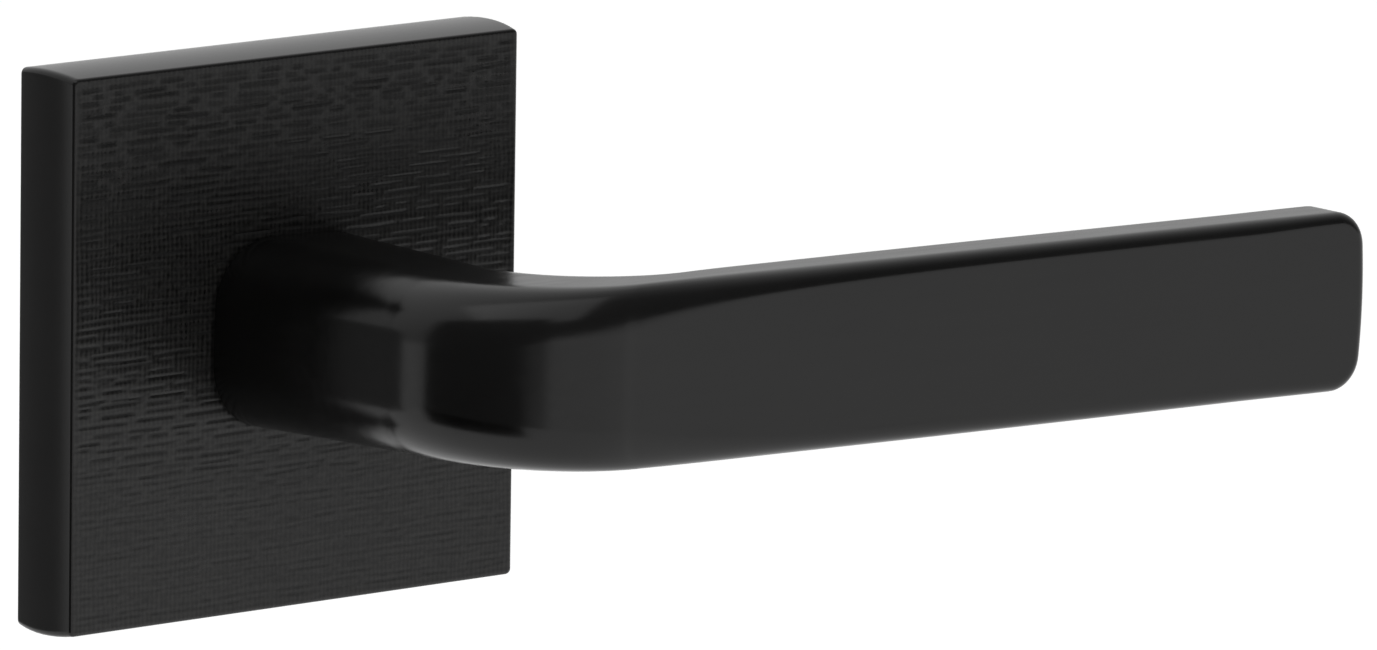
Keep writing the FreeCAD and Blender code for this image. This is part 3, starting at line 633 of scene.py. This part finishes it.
class Nodes:
    """A material's node tree, with short calls for what the finishes below share."""

    def __init__(self, name):
        self.material = bpy.data.materials.new(name)
        self.material.use_nodes = True
        self.tree = self.material.node_tree
        self.shader = self.tree.nodes["Principled BSDF"]
        self.place = self.add("ShaderNodeTexCoord").outputs["Object"]

    def add(self, kind, **settings):
        node = self.tree.nodes.new(kind)
        for name, value in settings.items():
            setattr(node, name, value)
        return node

    def link(self, start, end):
        self.tree.links.new(start, end)

    def scaled(self, scale):
        mapping = self.add("ShaderNodeMapping")
        mapping.inputs["Scale"].default_value = scale
        self.link(self.place, mapping.inputs["Vector"])
        return mapping.outputs["Vector"]

    def noise(self, scale, detail=4.0, roughness=0.55, stretch=(1, 1, 1)):
        node = self.add("ShaderNodeTexNoise")
        node.inputs["Scale"].default_value = scale
        node.inputs["Detail"].default_value = detail
        node.inputs["Roughness"].default_value = roughness
        self.link(self.scaled(stretch), node.inputs["Vector"])
        return node.outputs["Fac"]

    def remap(self, value, low, high, start=0.3, end=0.7):
        node = self.add("ShaderNodeMapRange")
        node.inputs["From Min"].default_value = start
        node.inputs["From Max"].default_value = end
        node.inputs["To Min"].default_value = low
        node.inputs["To Max"].default_value = high
        self.link(value, node.inputs["Value"])
        return node.outputs["Result"]

    def ramp(self, value, stops):
        node = self.add("ShaderNodeValToRGB")
        while len(node.color_ramp.elements) < len(stops):
            node.color_ramp.elements.new(0.5)
        for element, (position, colour) in zip(node.color_ramp.elements, stops):
            element.position = position
            element.color = (*colour, 1.0)
        self.link(value, node.inputs["Fac"])
        return node.outputs["Color"]

    def maths(self, operation, first, second):
        node = self.add("ShaderNodeMath", operation=operation)
        for socket, value in zip(node.inputs, (first, second)):
            if isinstance(value, (int, float)):
                socket.default_value = value
            else:
                self.link(value, socket)
        return node.outputs["Value"]

    def bump(self, height, distance, strength=1.0, under=None):
        node = self.add("ShaderNodeBump")
        node.inputs["Strength"].default_value = strength
        node.inputs["Distance"].default_value = distance
        self.link(height, node.inputs["Height"])
        if under is not None:
            self.link(under, node.inputs["Normal"])
        return node.outputs["Normal"]

    def finish(self, colour, rough, normal=None, metallic=0.0, level=0.5):
        self.link(colour, self.shader.inputs["Base Color"])
        self.link(rough, self.shader.inputs["Roughness"])
        if normal is not None:
            self.link(normal, self.shader.inputs["Normal"])
        self.shader.inputs["Metallic"].default_value = metallic
        self.shader.inputs["Specular IOR Level"].default_value = level
        return self.material


def lever_black():
    """Satin black paint on a casting: fine orange peel and faint wiping marks."""
    n = Nodes("satin_black_lever")
    cloud = n.noise(60, 3)
    fine = n.noise(2200, 3, 0.6)
    hair = n.noise(900, 5, 0.6, (0.06, 1, 1))
    colour = n.ramp(cloud, [(0.25, (0.0012, 0.0012, 0.0011)), (0.75, (0.0030, 0.0029, 0.0028))])
    rough = n.maths("ADD", n.remap(cloud, 0.17, 0.22), n.remap(hair, -0.02, 0.035))
    normal = n.bump(fine, 0.000004, 0.4)
    return n.finish(colour, rough, normal, level=0.33)


def rose_black():
    """Satin black: a linen-like face with painted shade darkening its grooves, and smooth plain sides."""
    n = Nodes("satin_black_rose")
    groove = n.add("ShaderNodeAttribute", attribute_name="groove").outputs["Fac"]
    face = n.add("ShaderNodeAttribute", attribute_name="face").outputs["Fac"]
    cloud = n.noise(90, 4)
    speck = n.noise(1800, 2, 0.6)
    threads = n.add("ShaderNodeTexWave", wave_type="BANDS", bands_direction="X", wave_profile="SIN")
    threads.inputs["Scale"].default_value = 480.0
    threads.inputs["Distortion"].default_value = 5.0
    threads.inputs["Detail"].default_value = 3.0
    threads.inputs["Detail Scale"].default_value = 0.6
    n.link(n.scaled((1.0, 1.0, 0.35)), threads.inputs["Vector"])
    rows = n.add("ShaderNodeTexWave", wave_type="BANDS", bands_direction="Z", wave_profile="SIN")
    rows.inputs["Scale"].default_value = 420.0
    rows.inputs["Distortion"].default_value = 6.0
    rows.inputs["Detail"].default_value = 3.0
    rows.inputs["Detail Scale"].default_value = 0.6
    n.link(n.scaled((0.35, 1.0, 1.0)), rows.inputs["Vector"])
    up_threads = n.maths("MULTIPLY", threads.outputs["Fac"], 0.6)
    cross = n.maths("ADD", up_threads, n.maths("MULTIPLY", rows.outputs["Fac"], 0.4))
    mixed = n.maths("ADD", n.maths("MULTIPLY", cross, 0.35), n.maths("MULTIPLY", speck, 0.65))
    cloth = n.ramp(mixed, [(0.32, (0.0022, 0.0021, 0.0020)), (0.68, (0.0165, 0.0160, 0.0153))])
    plain = n.ramp(cloud, [(0.3, (0.0030, 0.0029, 0.0028)), (0.7, (0.0045, 0.0044, 0.0043))])
    ground = n.add("ShaderNodeMix", data_type="RGBA")
    n.link(face, ground.inputs["Factor"])
    n.link(plain, ground.inputs["A"])
    n.link(cloth, ground.inputs["B"])
    # Painted shade: where the groove mask is high, the colour is mixed towards near black, standing in for
    # the shade that falls in the grooves.
    groove_shade_mix = n.add("ShaderNodeMix", data_type="RGBA")
    n.link(groove, groove_shade_mix.inputs["Factor"])
    n.link(ground.outputs["Result"], groove_shade_mix.inputs["A"])
    groove_shade_mix.inputs["B"].default_value = (0.0004, 0.0004, 0.0004, 1.0)
    rough_face = n.maths("ADD", n.remap(cloud, 0.30, 0.36), n.remap(cross, -0.04, 0.04))
    rough_gain = n.maths("MULTIPLY", n.maths("SUBTRACT", rough_face, 0.20), face)
    rough = n.maths("ADD", n.maths("ADD", rough_gain, 0.20), n.maths("MULTIPLY", groove, 0.35))
    normal = n.bump(n.maths("MULTIPLY", cross, face), 0.000022, 0.7)
    normal = n.bump(n.maths("MULTIPLY", speck, face), 0.000010, 0.6, normal)
    return n.finish(groove_shade_mix.outputs["Result"], rough, normal, level=0.31)


def metal(name, dark, light, rough, grain=700, stretch=(1, 1, 1), bump=0.00001):
    n = Nodes(name)
    cloud = n.noise(140, 4)
    fine = n.noise(grain, 4, 0.6, stretch)
    colour = n.ramp(n.maths("ADD", n.maths("MULTIPLY", cloud, 0.5), n.maths("MULTIPLY", fine, 0.5)),
                    [(0.3, dark), (0.7, light)])
    roughness = n.maths("ADD", n.remap(cloud, rough[0], rough[1]), n.remap(fine, -0.05, 0.05))
    return n.finish(colour, roughness, n.bump(fine, bump, 0.6), metallic=1.0)


def plastic(name, dark, light, rough, grain=900, bump=0.00001, level=0.5):
    n = Nodes(name)
    cloud = n.noise(120, 3)
    fine = n.noise(grain, 3, 0.6)
    colour = n.ramp(cloud, [(0.3, dark), (0.7, light)])
    return n.finish(colour, n.remap(cloud, rough[0], rough[1]), n.bump(fine, bump, 0.5), level=level)


def foam():
    """Closed-cell foam rubber with small pores."""
    n = Nodes("foam_rubber")
    pores = n.add("ShaderNodeTexVoronoi", feature="DISTANCE_TO_EDGE")
    pores.inputs["Scale"].default_value = 2200.0
    n.link(n.place, pores.inputs["Vector"])
    cloud = n.noise(300, 4)
    colour = n.ramp(cloud, [(0.3, (0.018, 0.018, 0.019)), (0.7, (0.035, 0.035, 0.036))])
    rough = n.remap(cloud, 0.85, 0.95)
    normal = n.bump(pores.outputs["Distance"], 0.00008, 0.7)
    return n.finish(colour, rough, normal, level=0.2)


def paint(obj, material):
    """Puts one material in every slot of an object."""
    if not obj.material_slots:
        obj.data.materials.append(material)
        return
    for place in obj.material_slots:
        place.material = material


# ---------------------------------------------------------------- the pieces

finishes = {
    "lever_black": lever_black(),
    "rose_black": rose_black(),
    "zinc": metal(
        "zinc_casting", (0.28, 0.28, 0.285), (0.46, 0.46, 0.465), (0.48, 0.60), 500, bump=0.00004,
    ),
    "plated": metal("plated_steel", (0.45, 0.46, 0.48), (0.66, 0.67, 0.69), (0.24, 0.36), 900, (1, 0.1, 1)),
    "hub": metal("hub_steel", (0.33, 0.32, 0.30), (0.50, 0.49, 0.47), (0.34, 0.46), 800, (1, 0.08, 1)),
    "spring": metal(
        "spring_steel", (0.10, 0.10, 0.11), (0.20, 0.20, 0.21), (0.26, 0.38), 1200, bump=0.000006,
    ),
    "oxide": plastic("black_oxide", (0.010, 0.010, 0.011), (0.022, 0.022, 0.024), (0.34, 0.46), level=0.6),
    "acetal": plastic("acetal", (0.030, 0.030, 0.031), (0.045, 0.045, 0.046), (0.42, 0.52)),
    "foam": foam(),
}
slot_finish = {
    "satin_black": "lever_black",
    "acetal": "acetal",
    "zinc_casting": "zinc",
    "plated_steel": "plated",
    "hub_steel": "hub",
    "spring_steel": "spring",
    "black_oxide": "oxide",
    "foam_rubber": "foam",
}
node_slots = {row["node"]: row["material_slot"] for row in frame["record"]["subparts"]}
for node, obj in frame["nodes"].items():
    paint(obj, finishes[slot_finish[node_slots[node]]])

lever = make_lever()
paint(lever, finishes["lever_black"])
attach(lever, "lever")
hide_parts("lever_handle")

rose = make_rose()
paint(rose, finishes["rose_black"])
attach(rose, "rose")
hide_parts("rose_cover")

for side, name in ((-1, "left"), (1, "right")):
    bolt = make_bolt("bolt_" + name, "through_bolt_" + name, side * BOLT_X)
    paint(bolt, finishes["plated"])

# ---------------------------------------------------------------- floor, light and camera


def stage_plane(name, corners, colour, rough, glow=0.0):
    mesh = bpy.data.meshes.new(name)
    mesh.from_pydata(corners, [], [tuple(range(len(corners)))])
    obj = new_object(name, mesh)
    material = bpy.data.materials.new(name)
    material.use_nodes = True
    shader = material.node_tree.nodes["Principled BSDF"]
    shader.inputs["Base Color"].default_value = (*colour, 1.0)
    shader.inputs["Roughness"].default_value = rough
    shader.inputs["Specular IOR Level"].default_value = 0.0
    shader.inputs["Emission Color"].default_value = (1.0, 1.0, 1.0, 1.0)
    shader.inputs["Emission Strength"].default_value = glow
    obj.data.materials.append(material)
    return obj


def dark_card(name, start, end, low, high, glow=0.0):
    """A dark studio card seen only in reflections, standing between two plan points."""
    corners = [(*start, low), (*end, low), (*end, high), (*start, high)]
    card = stage_plane(name, corners, (0.0, 0.0, 0.0), 1.0, glow)
    card.visible_camera = False
    card.visible_diffuse = False
    card.visible_shadow = False
    return card


FLOOR_Z = -0.30
edge = []
for step in range(64):
    angle = 2 * math.pi * step / 64
    edge.append((12 * math.cos(angle), 12 * math.sin(angle), FLOOR_Z))
stage_plane("floor", edge, (0.82, 0.82, 0.82), 0.9, glow=0.45)


def plan_point(degrees, distance):
    """A plan point at an angle from -X, turning towards +Y."""
    angle = math.radians(degrees)
    return (-distance * math.cos(angle), distance * math.sin(angle))


dark_card("card_back_left", plan_point(33, 0.9), plan_point(100, 0.9), FLOOR_Z, 0.10, 0.22)
dark_card("card_under_camera", plan_point(12, 0.6), plan_point(-56, 0.6), FLOOR_Z, -0.098)
dark_card("card_behind_camera", plan_point(12, 0.62), plan_point(-70, 0.62), -0.102, 0.42, 0.13)

world = bpy.data.worlds.new("studio")
world.use_nodes = True
bpy.context.scene.world = world
tree = world.node_tree
place = tree.nodes.new("ShaderNodeTexCoord")
split = tree.nodes.new("ShaderNodeSeparateXYZ")
tree.links.new(place.outputs["Generated"], split.inputs[0])
ramps = []
for output, start, end, low, high in (("Z", 0.0, 0.8, 0.62, 1.0), ("Y", -0.6, 0.3, 0.25, 1.0)):
    slope = tree.nodes.new("ShaderNodeMapRange")
    slope.inputs["From Min"].default_value = start
    slope.inputs["From Max"].default_value = end
    slope.inputs["To Min"].default_value = low
    slope.inputs["To Max"].default_value = high
    tree.links.new(split.outputs[output], slope.inputs["Value"])
    ramps.append(slope)
joined = tree.nodes.new("ShaderNodeMath")
joined.operation = "MULTIPLY"
tree.links.new(ramps[0].outputs["Result"], joined.inputs[0])
tree.links.new(ramps[1].outputs["Result"], joined.inputs[1])
tree.links.new(joined.outputs["Value"], tree.nodes["Background"].inputs["Strength"])
tree.nodes["Background"].inputs["Color"].default_value = (1.0, 1.0, 1.0, 1.0)

lamp = bpy.data.lights.new("softbox", "AREA")
lamp.shape = "RECTANGLE"
lamp.size = 2.6
lamp.size_y = 2.2
lamp.energy = 16.0
softbox = new_object("softbox", lamp)
softbox.location = (-0.6, -0.9, 1.7)
aim = Vector((0.04, -0.02, 0)) - softbox.location
softbox.rotation_euler = aim.to_track_quat("-Z", "Y").to_euler()
softbox.visible_camera = False

AZIMUTH = math.radians(-39.549)
ELEVATION = math.radians(10.343)
ROLL = math.radians(0.844)
TARGET = Vector((0.06812, 0.0, -0.00879))
DISTANCE = 1.78784
back = Vector((
    math.sin(AZIMUTH) * math.cos(ELEVATION),
    -math.cos(AZIMUTH) * math.cos(ELEVATION),
    math.sin(ELEVATION),
))
right = Vector((0, 0, 1)).cross(back).normalized()
over = back.cross(right)
rolled_right = right * math.cos(ROLL) + over * math.sin(ROLL)
rolled_over = over * math.cos(ROLL) - right * math.sin(ROLL)
view = bpy.data.cameras.new("camera")
view.lens = 387.3
view.sensor_width = 36.0
view.sensor_fit = "HORIZONTAL"
view.clip_start = 0.05
view.clip_end = 60.0
camera = new_object("camera", view)
camera.matrix_world = Matrix((
    (rolled_right.x, rolled_over.x, back.x, TARGET.x + back.x * DISTANCE),
    (rolled_right.y, rolled_over.y, back.y, TARGET.y + back.y * DISTANCE),
    (rolled_right.z, rolled_over.z, back.z, TARGET.z + back.z * DISTANCE),
    (0, 0, 0, 1),
))
bpy.context.scene.camera = camera
bpy.context.scene.view_settings.view_transform = "Standard"
